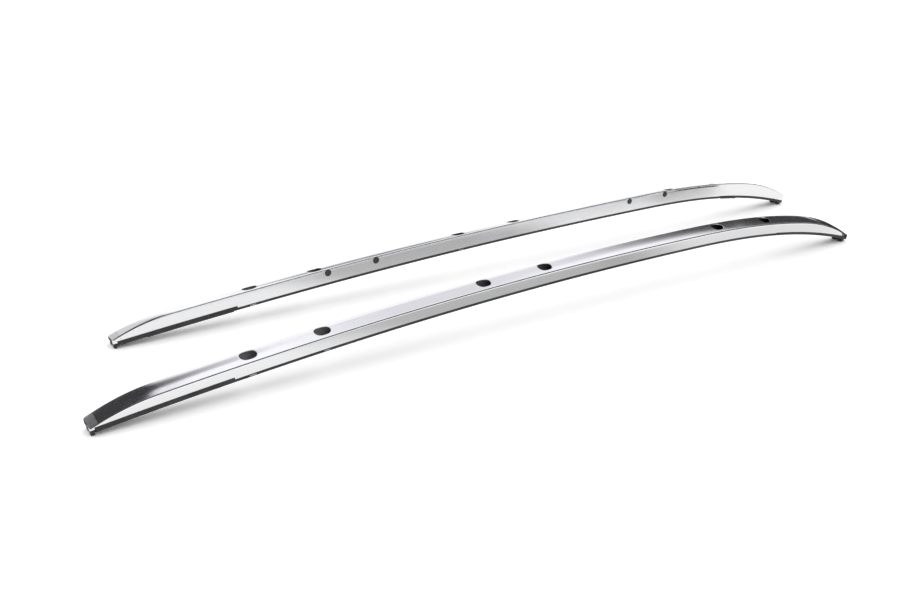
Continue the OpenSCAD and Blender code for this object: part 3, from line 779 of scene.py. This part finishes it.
# A plug's recess has a rounded rim, a wall and a flat floor: each step has a radius, a depth
# and how far the faces are drawn in.
recess_steps = (
    (recess_r + 0.3, 0.0, 0.5), (recess_r + 0.3, 0.0, 1.0), (recess_r, 0.3, 1.0),
    (recess_r, recess_depth, 1.0), (insert_hole_r, recess_depth, 1.0))
for name, side in sides.items():
    bm = bmesh.new()
    skin = swept(bm, side, rail_stations, skin_section)
    outside = set(bm.faces)
    hollow = swept(bm, side, hollow_stations, hollow_section)
    for face in bm.faces:
        if face not in outside:
            face.material_index = 1
    locate = plan_finder(side)
    for x in fixings:
        middle = (x, bow(x) + slot_offset)
        radius, reach = slot_width / 2, (slot_length - slot_width) / 2
        edges = lift_patch(bm, skin, rail_stations, x, slot_reach, top_first, top_steps)
        for amount in (0.4, 0.6, 1.0):
            crown = on_surface(side, top)
            edges = draw_in(bm, edges, locate, crown, middle, radius + rim_growth, reach, amount)
        for growth, drop in rim_steps:
            rim = on_surface(side, top, drop)
            edges = draw_in(bm, edges, locate, rim, middle, radius + growth, reach, 1.0)
        inner = lift_patch(bm, hollow, hollow_stations, x, slot_reach, hollow_top_first, top_steps)
        for amount in (0.5, 1.0):
            roof = on_surface(side, hollow_roof)
            inner = draw_in(bm, inner, locate, roof, middle, radius + hollow_growth, reach, amount)
        bmesh.ops.bridge_loops(bm, edges=edges + inner)
        edges = lift_patch(bm, skin, rail_stations, x, bolt_reach, 1, floor_steps - 2)
        inner = lift_patch(bm, hollow, hollow_stations, x, bolt_reach, 1, floor_steps - 2)
        for amount in (0.6, 1.0):
            outer_floor, inner_floor = on_surface(side, rail_bottom), on_surface(side, hollow_floor)
            edges = draw_in(bm, edges, locate, outer_floor, middle, bush_r + bush_gap, 0.0, amount)
            inner = draw_in(bm, inner, locate, inner_floor, middle, bush_r + bush_gap, 0.0, amount)
        bmesh.ops.bridge_loops(bm, edges=edges + inner)
    locate = wall_finder(side)
    for x in bars:
        middle = (x, bar_height(x))
        edges = lift_patch(bm, skin, rail_stations, x, bar_reach, inner_wall_first, wall_steps)
        for radius, depth, amount in recess_steps:
            edges = draw_in(bm, edges, locate, on_inner_wall(side, depth), middle, radius, 0.0, amount)
        inner = lift_patch(bm, hollow, hollow_stations, x, bar_reach, hollow_inner_first, wall_steps)
        for amount in (0.6, 1.0):
            inner = draw_in(bm, inner, locate, on_inner_wall(side, wall), middle, insert_hole_r, 0.0, amount)
        bmesh.ops.bridge_loops(bm, edges=edges + inner)
    columns = len(skin_section(cap_length))
    for row in (0, len(rail_stations) - 1):
        soften(bm, close_end(bm, skin, row, columns), seam_round)
    close_ends(bm, hollow, hollow_stations, hollow_section)
    rail_skin = finish(bm, name + "_rail_skin", aluminium)
    rail_skin.data.materials.append(mill_finish_and_shade)
    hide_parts(name + "_rail")

# A short solid cap closes each end. It is a zinc die casting with a satin metallic grey coat,
# pushed into the rail on a tongue, so a thin seam shows all round. Its faces that look across
# the rail are painted brighter with the polished aluminium, as a painted reflection.
satin_metal, worn_metal = (0.70, 0.705, 0.715), (0.78, 0.785, 0.795)
cap_metal, tree, shader = new_material("satin_grey_coat")
shader.inputs["Metallic"].default_value = 0.88
grain = place_group(tree, moulded_grain, {"Grain": 2600.0, "Dust": 55.0})
marks = place_group(tree, smudges, {"Size": 90.0, "Cover": 0.5})
paint(tree, shader, marks.outputs["Mask"], satin_metal, worn_metal)
roughen(tree, shader, grain.outputs["Dust"], 0.24, 0.30)
emboss(tree, shader, grain.outputs["Height"], 0.12, fine_relief)

seam_gap, tip_round = 0.25, 1.2
# How far a cap face must look across the rail to be painted brighter as a reflection.
painted_reflection_facing = 0.8
tip_steps = [end_round * (1 - math.cos(math.radians(a))) for a in (0, 22, 45, 67)]
cap_seam = cap_length - seam_gap
front_cap_stations = tip_steps + span(end_round, cap_seam, 5) + [cap_seam]
cap_stations = {
    "front": front_cap_stations,
    "rear": [rail_length - x for x in reversed(front_cap_stations)],
}
for name, side in sides.items():
    for end, stations in cap_stations.items():
        bm = bmesh.new()
        grid = swept(bm, side, stations, skin_section)
        columns = len(skin_section(stations[0]))
        tip = 0 if end == "front" else len(stations) - 1
        seam_edges = close_end(bm, grid, len(stations) - 1 - tip, columns)
        tip_edges = close_end(bm, grid, tip, columns)
        soften(bm, tip_edges, tip_round, 4)
        soften(bm, seam_edges, seam_round)
        cap = finish(bm, "%s_%s_cap_casting" % (name, end), cap_metal)
        cap.data.materials.append(aluminium)
        # Painted reflection: the faces that look across the rail take the brighter polished aluminium.
        for face in cap.data.polygons:
            if abs(face.normal.y) > painted_reflection_facing:
                face.material_index = 1
        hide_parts("%s_%s_cap" % (name, end))

# A seal of matt, dusty black rubber lies between the rail and the roof. It is extruded with
# a shallow channel under it and pressed on. Windows are cut through it for the fixing seats,
# and notches in its sides let the ears of the first three show.
seal_inset, seal_skirt, seal_channel = 0.3, 1.2, 1.2
seat_length, seat_width, window_gap = 26.0, 22.0, 0.2
ear_length, ear_height, ear_low, ear_depth = 13.0, 2.2, 1.6, 3.2
ear_sides = {0: (-1, 1), 1: (-1,), 2: (1,)}
channel_half, channel_edge = 8.5, 9.5
black_rubber, dusty_rubber, worn_rubber = (0.016, 0.016, 0.017), (0.032, 0.032, 0.034), (0.05, 0.05, 0.052)

rubber, tree, shader = new_material("matt_black_rubber")
grain = place_group(tree, moulded_grain, {"Grain": 1400.0, "Dust": 60.0})
marks = place_group(tree, smudges, {"Size": 22.0, "Cover": 0.5})
rubber_colour = blend_colours(tree, grain.outputs["Dust"], black_rubber, dusty_rubber)
worn = add_node(tree, "ShaderNodeMix", data_type="RGBA")
worn.inputs[7].default_value = (*worn_rubber, 1)
tree.links.new(rubber_colour, worn.inputs[6])
tree.links.new(combine(tree, "MULTIPLY", marks.outputs["Mask"], 0.5), worn.inputs["Factor"])
tree.links.new(worn.outputs[2], shader.inputs["Base Color"])
roughen(tree, shader, grain.outputs["Dust"], 0.5, 0.72)
emboss(tree, shader, grain.outputs["Height"], 0.25, 0.0003)

seal_half = half - seal_inset
window_low = slot_offset - seat_width / 2 - window_gap
window_high = slot_offset + seat_width / 2 + window_gap
window_columns = [window_high, channel_edge, channel_half, 0.0, -channel_half, -channel_edge, window_low]


def has_ear(x, flank):
    """Whether an ear shows in one side of the seal at a station."""
    return any(
        flank in flanks and abs(x - fixings[i]) < ear_length / 2 for i, flanks in ear_sides.items())


def seal_flank(x, flank):
    """One side of the seal from its skirt up to the rail, set back where an ear shows."""
    y = flank * seal_half
    back = flank * ear_depth if has_ear(x, flank) else 0.0
    low, high = underside(x, y), rail_bottom(x, y)
    return [
        (y - flank * seal_skirt, low),
        (y - flank * 0.35, low + seal_skirt * 0.7),
        (y, low + seal_skirt),
        (y, low + ear_low),
        (y - back, low + ear_low + 0.05),
        (y - back, low + ear_low + ear_height),
        (y, low + ear_low + ear_height + 0.05),
        (y, high - 0.4),
        (y - flank * 0.3, high),
    ]


def seal_section(x):
    """The outline of the seal at a station, with its channel."""
    def lower(y):
        return underside(x, y) + (seal_channel if abs(y) <= channel_half else 0.0)

    floor = [(y, lower(y)) for y in window_columns]
    roof = [(y, rail_bottom(x, y)) for y in reversed(window_columns)]
    return list(reversed(seal_flank(x, 1))) + floor + seal_flank(x, -1) + roof


seal_stations = set(span(front_pad_end, rear_pad_start, 130) + [rear_pad_start])
for i, x in enumerate(fixings):
    step = seat_length / 2 + window_gap
    seal_stations = {s for s in seal_stations if abs(s - x) > step + 1.5}
    seal_stations |= set(span(x - step, x + step, 8) + [x + step])
    if i in ear_sides:
        seal_stations |= {
            x + turn * (ear_length / 2 + nudge) for turn in (-1, 1) for nudge in (-0.02, 0.02)}
seal_stations = sorted(seal_stations)
for name, side in sides.items():
    bm = bmesh.new()
    grid = swept(bm, side, seal_stations, seal_section)
    floor_first = len(seal_flank(front_pad_end, 1))
    roof_first = 2 * floor_first + len(window_columns)
    steps = len(window_columns) - 1
    for x in fixings:
        reach = seat_length / 2 + window_gap
        lower = lift_patch(bm, grid, seal_stations, x, reach, floor_first, steps)
        upper = lift_patch(bm, grid, seal_stations, x, reach, roof_first, steps)
        bmesh.ops.bridge_loops(bm, edges=lower + upper)
    close_ends(bm, grid, seal_stations, seal_section)
    seal = finish(bm, name + "_seal_strip", rubber)
    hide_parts(name + "_base_seal")

# A thicker pad closes the underside at each end. It is moulded from the same rubber, its
# lips lap the walls of the rail, and ribs under it grip the roof.
lip_wall, front_lip, rear_lip, pad_rib = 0.7, 4.0, 1.4, 1.3
rib_setback, long_rib, short_rib, rib_gap = 8.0, 34.0, 17.0, 4.0
rib_root, rib_round, rib_inset = 1.0, 0.6, 1.0
pad_pitch, rib_pitch = 5, 6


def pad_section(lip):
    """The outlines of a pad whose lips lap the walls by a height."""
    def flank(x, turn):
        wall_y, lip_y = turn * half, turn * (half + lip_wall)
        low, seat = underside(x, wall_y), rail_bottom(x, wall_y)
        return [
            (turn * (half - 2.6), low),
            (turn * (half - 0.9), low + 0.35),
            (lip_y - turn * 0.25, low + 1.3),
            (lip_y, low + 2.2),
            (lip_y, seat + lip * 0.45),
            (lip_y - turn * 0.12, seat + lip * 0.52),
            (lip_y, seat + lip * 0.6),
            (lip_y, seat + lip - 0.6),
            (lip_y - turn * 0.2, seat + lip - 0.15),
            (wall_y + turn * 0.1, seat + lip),
            (wall_y, seat + lip - 0.2),
            (wall_y, seat),
        ]

    def section(x):
        floor = [(y, underside(x, y)) for y in (10.0, 4.0, -4.0, -10.0)]
        roof = [(y, rail_bottom(x, y)) for y in (-8.0, 8.0)]
        return list(reversed(flank(x, 1))) + floor + flank(x, -1) + roof
    return section


def rib_section(low_side, high_side):
    """A rounded rib under a pad, between two distances across it."""
    def section(x):
        high, low = underside(x, high_side), underside(x, low_side)
        return [
            (high_side, high + rib_root),
            (high_side, high - pad_rib * 0.6),
            (high_side - rib_round, high - pad_rib),
            (low_side + rib_round, low - pad_rib),
            (low_side, low - pad_rib * 0.6),
            (low_side, low + rib_root),
        ]
    return section


long_rib_start = rear_pad_start + rib_setback
short_rib_start = long_rib_start + long_rib + rib_gap
# Each rib has a start, an end and its low side across the pad.
front_ribs = [(nose_solid, front_pad_end - rib_setback, 2.0)]
rear_ribs = [
    (long_rib_start, long_rib_start + long_rib, 0.0),
    (short_rib_start, short_rib_start + short_rib, 0.0)]
pads = {
    "front": (front_pad_start, front_pad_end, front_lip, front_ribs),
    "rear": (rear_pad_start, rear_pad_end, rear_lip, rear_ribs),
}
for name, side in sides.items():
    for end, (start, stop, lip, ribs) in pads.items():
        bm = bmesh.new()
        stations = span(start, stop, round((stop - start) / pad_pitch)) + [stop]
        section = pad_section(lip)
        close_ends(bm, swept(bm, side, stations, section), stations, section)
        for rib_start, rib_stop, low_side in ribs:
            steps = max(2, round((rib_stop - rib_start) / rib_pitch))
            stations = span(rib_start, rib_stop, steps) + [rib_stop]
            section = rib_section(low_side, half - rib_inset)
            close_ends(bm, swept(bm, side, stations, section), stations, section)
        pad = finish(bm, "%s_%s_pad_moulding" % (name, end), rubber)
        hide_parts("%s_%s_pad" % (name, end))

# The rail stands on small black feet of hard plastic, one under each end. Each is moulded
# with two rounded lobes that grip at the sides, and plugs into the pad above it.
black_plastic, dusty_plastic = (0.018, 0.018, 0.019), (0.045, 0.045, 0.046)
foot_plastic, tree, shader = new_material("black_foot_plastic")
grain = place_group(tree, moulded_grain, {"Grain": 2200.0, "Dust": 120.0})
paint(tree, shader, grain.outputs["Dust"], black_plastic, dusty_plastic)
roughen(tree, shader, grain.outputs["Dust"], 0.38, 0.58)
emboss(tree, shader, grain.outputs["Height"], 0.15, fine_relief)

# Each foot has a start, an end, and the surface above it.
front_foot_start, front_foot_end = 1.0, 7.0
rear_foot_start, rear_foot_end = rail_length - 15.0, rail_length - 4.0
feet = {
    "front": (front_foot_start, front_foot_end, rail_bottom),
    "rear": (rear_foot_start, rear_foot_end, underside),
}
lobe_inner, lobe_outer, lobe_round = 4.5, half - 3.0, 1.1
bridge_inset, bridge_setback, bridge_low, bridge_round = 0.8, 1.5, 2.0, 0.4
foot_root = 0.8
for name, side in sides.items():
    for end, (start, stop, roof) in feet.items():
        bm = bmesh.new()
        middle = (start + stop) / 2
        bridge_start, bridge_stop = start + bridge_inset, stop - bridge_inset
        bridge_side = lobe_outer - bridge_setback
        for x0, x1, y0, y1, low, radius in (
                (start, stop, lobe_inner, lobe_outer, 0.0, lobe_round),
                (start, stop, -lobe_outer, -lobe_inner, 0.0, lobe_round),
                (bridge_start, bridge_stop, -bridge_side, bridge_side, bridge_low, bridge_round)):
            made = bmesh.ops.create_cube(bm, size=1.0)["verts"]
            for v in made:
                x, y = mix(x0, x1, v.co.x + 0.5), mix(y0, y1, v.co.y + 0.5)
                v.co = placed(side, x, y + bow(middle), low if v.co.z < 0 else roof(x, y) + foot_root)
            soften(bm, list({e for v in made for e in v.link_edges}), radius, 4)
        block = finish(bm, "%s_%s_foot_moulding" % (name, end), foot_plastic)
        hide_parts("%s_%s_foot" % (name, end))

# A round peg hangs under the rear part of each seal and finds its hole in the roof. It is
# turned from the same black plastic, with a chamfered tip.
peg_setback, peg_r, peg_reach, peg_root, peg_chamfer = 9.0, 3.0, 5.0, 3.2, 1.0
peg_x = rear_pad_start - peg_setback


def lathe(bm, profile, steps, to_place):
    """Spins a profile of radius and height round its axis and puts it in place."""
    verts = [bm.verts.new((radius / 1000, 0, height / 1000)) for radius, height in profile]
    edges = [bm.edges.new(pair) for pair in zip(verts, verts[1:])]
    bmesh.ops.spin(
        bm, geom=verts + edges, cent=(0, 0, 0), axis=(0, 0, 1), dvec=(0, 0, 0),
        angle=2 * math.pi, steps=steps, use_merge=True, use_duplicate=False)
    bmesh.ops.remove_doubles(bm, verts=bm.verts, dist=1e-6)
    for v in bm.verts:
        v.co = to_place(v.co * 1000)


for name, side in sides.items():
    bm = bmesh.new()
    foot_z = underside(peg_x, slot_offset) - peg_reach
    across = bow(peg_x) + slot_offset
    profile = [
        (0, 0), (peg_r - peg_chamfer, 0), (peg_r - 0.85, 0.08), (peg_r - 0.08, 0.85), (peg_r, peg_chamfer),
        (peg_r, peg_reach + peg_root), (0, peg_reach + peg_root)]
    lathe(bm, profile, 32, lambda p: placed(side, peg_x + p.x, across + p.y, foot_z + p.z))
    peg = finish(bm, name + "_peg_turning", foot_plastic)
    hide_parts(name + "_locating_peg")

# Four black plugs close the crossbar inserts in each inner wall. Each is a moulded button
# with a raised outer ring, a satin dished face and a small square-shouldered socket.
satin_black, dusty_black = (0.035, 0.035, 0.037), (0.07, 0.07, 0.073)
plug_plastic, tree, shader = new_material("satin_plug_plastic")
grain = place_group(tree, moulded_grain, {"Grain": 3000.0, "Dust": 200.0})
paint(tree, shader, grain.outputs["Dust"], satin_black, dusty_black)
roughen(tree, shader, grain.outputs["Dust"], 0.3, 0.48)

plug_r, plug_proud, flange = 6.7, 1.2, 0.7
stem_r, stem_length, socket_r, socket_depth = 2.3, 3.0, 2.2, 1.0
for name, side in sides.items():
    for i, x in enumerate(bars, 1):
        bm = bmesh.new()
        seat = half - recess_depth + flange
        face = recess_depth - flange + plug_proud
        stem = [(0, -stem_length), (stem_r, -stem_length), (stem_r, 0)]
        edge = [
            (plug_r - 0.15, 0), (plug_r, 0.15), (plug_r, face - 0.55),
            (plug_r - 0.12, face - 0.2), (plug_r - 0.45, face)]
        ring = [(plug_r - 1.3, face), (plug_r - 1.6, face - 0.12), (plug_r - 1.9, face - 0.55)]
        dish = [(plug_r - 3.2, face - 0.4), (socket_r + 0.4, face - 0.3), (socket_r + 0.2, face - 0.4)]
        socket = [(socket_r, face - socket_depth), (0, face - socket_depth - 0.1)]
        profile = stem + edge + ring + dish + socket
        height = bar_height(x)
        lathe(bm, profile, 40, lambda p: placed(side, x + p.x, seat + bow(x) + p.z, height + p.y))
        plug = finish(bm, "%s_plug_button_%d" % (name, i), plug_plastic)
        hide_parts("%s_crossbar_plug_%d" % (name, i))

# A zinc-plated steel seat fills each window of the seal. Its bush stands up through the
# floor of the rail for the roof bolt, and the threaded inserts are plated the same way.
bright_zinc, dull_zinc = (0.62, 0.63, 0.64), (0.74, 0.74, 0.72)
zinc, tree, shader = new_material("zinc_plate")
shader.inputs["Metallic"].default_value = 1.0
marks = place_group(tree, smudges, {"Size": 260.0, "Cover": 0.45})
paint(tree, shader, marks.outputs["Mask"], bright_zinc, dull_zinc)
roughen(tree, shader, marks.outputs["Mask"], 0.26, 0.44)


def dress(node, material):
    """Gives a carried-over CAD node its material."""
    piece = bpy.data.objects[node]
    piece.data.materials.clear()
    piece.data.materials.append(material)


def ringed(bm, rings):
    """A closed ring-shaped skin through rings of places, as one grid."""
    count, steps = len(rings), len(rings[0])
    made = bmesh.ops.create_grid(bm, x_segments=count, y_segments=steps, size=1.0)["verts"]
    for v in made:
        row, column = round((v.co.x + 1) / 2 * count), round((v.co.y + 1) / 2 * steps)
        v.co = rings[row % count][column % steps]


def round_and_square(steps, length, width):
    """Directions round a circle, each with its place on an oblong of the same number of steps."""
    places = []
    for i in range(steps):
        angle = 2 * math.pi * i / steps
        u, w = math.cos(angle), math.sin(angle)
        reach = 1 / max(abs(u), abs(w))
        places.append(((u, w), (u * reach * length / 2, w * reach * width / 2)))
    return places


bolt_hole_r, bush_proud, chamfer, plate_round = 3.3, 1.0, 0.5, 0.4
plate_gap, ear_root, ear_gap, ear_round = 0.02, 2.0, 0.25, 0.8
for name, side in sides.items():
    for i, x in enumerate(fixings):
        bm = bmesh.new()
        head = rail_bottom(x, slot_offset) + floor_wall + bush_proud
        across = bow(x) + slot_offset
        places = round_and_square(48, seat_length, seat_width)

        def circle(radius, height):
            corners = [(u * radius, w * radius) for (u, w), _ in places]
            return [placed(side, x + u, across + w, height(u, w)) for u, w in corners]

        def oblong(inset, height):
            shrink = (1 - 2 * inset / seat_length, 1 - 2 * inset / seat_width)
            corners = [(u * shrink[0], w * shrink[1]) for _, (u, w) in places]
            return [placed(side, x + u, across + w, height(u, w)) for u, w in corners]

        def plate(rise):
            return lambda u, w: underside(x + u, slot_offset + w) + rise

        def upright(drop):
            return lambda u, w: head - drop

        plate_top = seal_thickness - plate_gap
        ringed(bm, [
            circle(bolt_hole_r, upright(chamfer)),
            circle(bolt_hole_r + chamfer, upright(0)),
            circle(bush_r - chamfer, upright(0)),
            circle(bush_r, upright(chamfer)),
            circle(bush_r, plate(plate_top)),
            oblong(plate_round, plate(plate_top)),
            oblong(0, plate(plate_top - plate_round)),
            oblong(0, plate(plate_round)),
            oblong(plate_round, plate(0)),
            circle(bolt_hole_r + chamfer, plate(0)),
            circle(bolt_hole_r, plate(chamfer)),
        ])
        for flank in ear_sides.get(i, ()):
            ear = bmesh.ops.create_cube(bm, size=1.0)["verts"]
            for v in ear:
                u = v.co.x * (ear_length - 2 * window_gap)
                y = flank * mix(seat_width / 2 - ear_root, seal_half - ear_gap, v.co.y + 0.5)
                low = underside(x + u, y) + ear_low
                v.co = placed(side, x + u, bow(x) + y, low + (0.1 if v.co.z < 0 else ear_height - 0.05))
            soften(bm, list({e for v in ear for e in v.link_edges}), ear_round, 4)
        seat = finish(bm, "%s_seat_pressing_%d" % (name, i + 1), zinc)
        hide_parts("%s_fixing_seat_%d" % (name, i + 1))
    for i in range(1, len(bars) + 1):
        dress("%s_crossbar_nut_%d" % (name, i), zinc)
